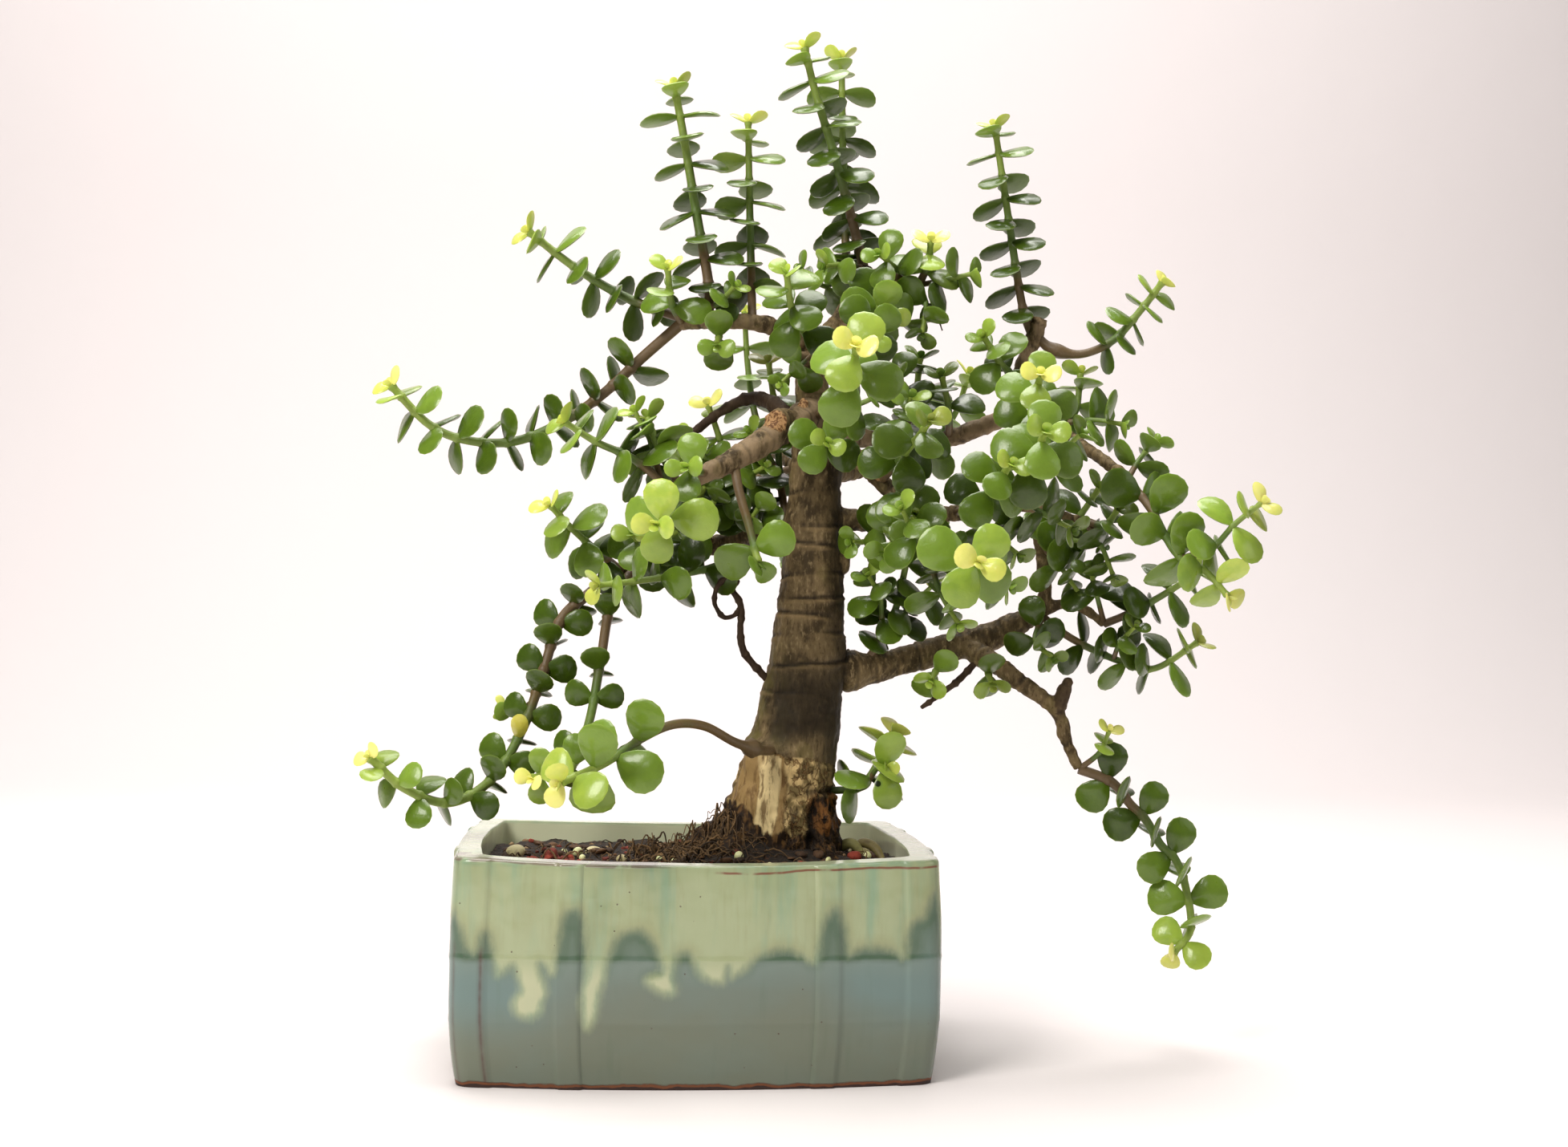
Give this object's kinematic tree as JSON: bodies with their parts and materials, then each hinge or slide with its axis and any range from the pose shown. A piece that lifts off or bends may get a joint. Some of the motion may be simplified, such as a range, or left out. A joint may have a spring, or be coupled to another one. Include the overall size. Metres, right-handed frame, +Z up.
{
  "type": "potted dwarf jade bonsai",
  "caption": "Dwarf jade grown as a small tree, with a thick grey-brown trunk, spreading limbs and paired round fleshy leaves, in a bowed rectangular glazed pot.",
  "frame": {"origin": "middle of the pot's underside, on the foot bar between the two drainage holes, at the level it stands on", "axes": "+Z up; +X to the right along the pot's long side, seen from its front; -Y is the front face of the pot"},
  "size_m": [0.3507, 0.2307, 0.4166],
  "materials": {
    "glaze": "gloss",
    "soil": "matte",
    "bark": "matte",
    "leaf": "satin",
    "screen": "matte"
  },
  "bodies": {
    "root": {"pot": "glaze", "soil": "soil", "wood": "bark", "drain_screen_1": "screen", "drain_screen_2": "screen", "crown_01": "leaf", "crown_02": "leaf", "crown_03": "leaf", "crown_04": "leaf", "crown_05": "leaf", "crown_06": "leaf", "crown_07": "leaf", "crown_08": "leaf", "crown_09": "leaf", "crown_10": "leaf", "left_01": "leaf", "left_02": "leaf", "left_03": "leaf", "left_04": "leaf", "left_05": "leaf", "left_06": "leaf", "left_07": "leaf", "left_08": "leaf", "left_09": "leaf", "left_10": "leaf", "left_11": "leaf", "left_12": "leaf", "left_13": "leaf", "left_14": "leaf", "left_15": "leaf", "left_16": "leaf", "right_01": "leaf", "right_02": "leaf", "right_03": "leaf", "right_04": "leaf", "right_05": "leaf", "right_06": "leaf", "right_07": "leaf", "right_08": "leaf", "right_09": "leaf", "right_10": "leaf", "right_11": "leaf", "right_12": "leaf", "right_13": "leaf", "right_14": "leaf", "right_15": "leaf", "right_16": "leaf", "right_17": "leaf", "right_18": "leaf", "right_19": "leaf", "right_20": "leaf", "front_01": "leaf", "front_02": "leaf", "front_03": "leaf", "front_04": "leaf", "back_01": "leaf", "back_02": "leaf", "back_03": "leaf", "back_04": "leaf", "back_05": "leaf"}
  },
  "joints": []
}
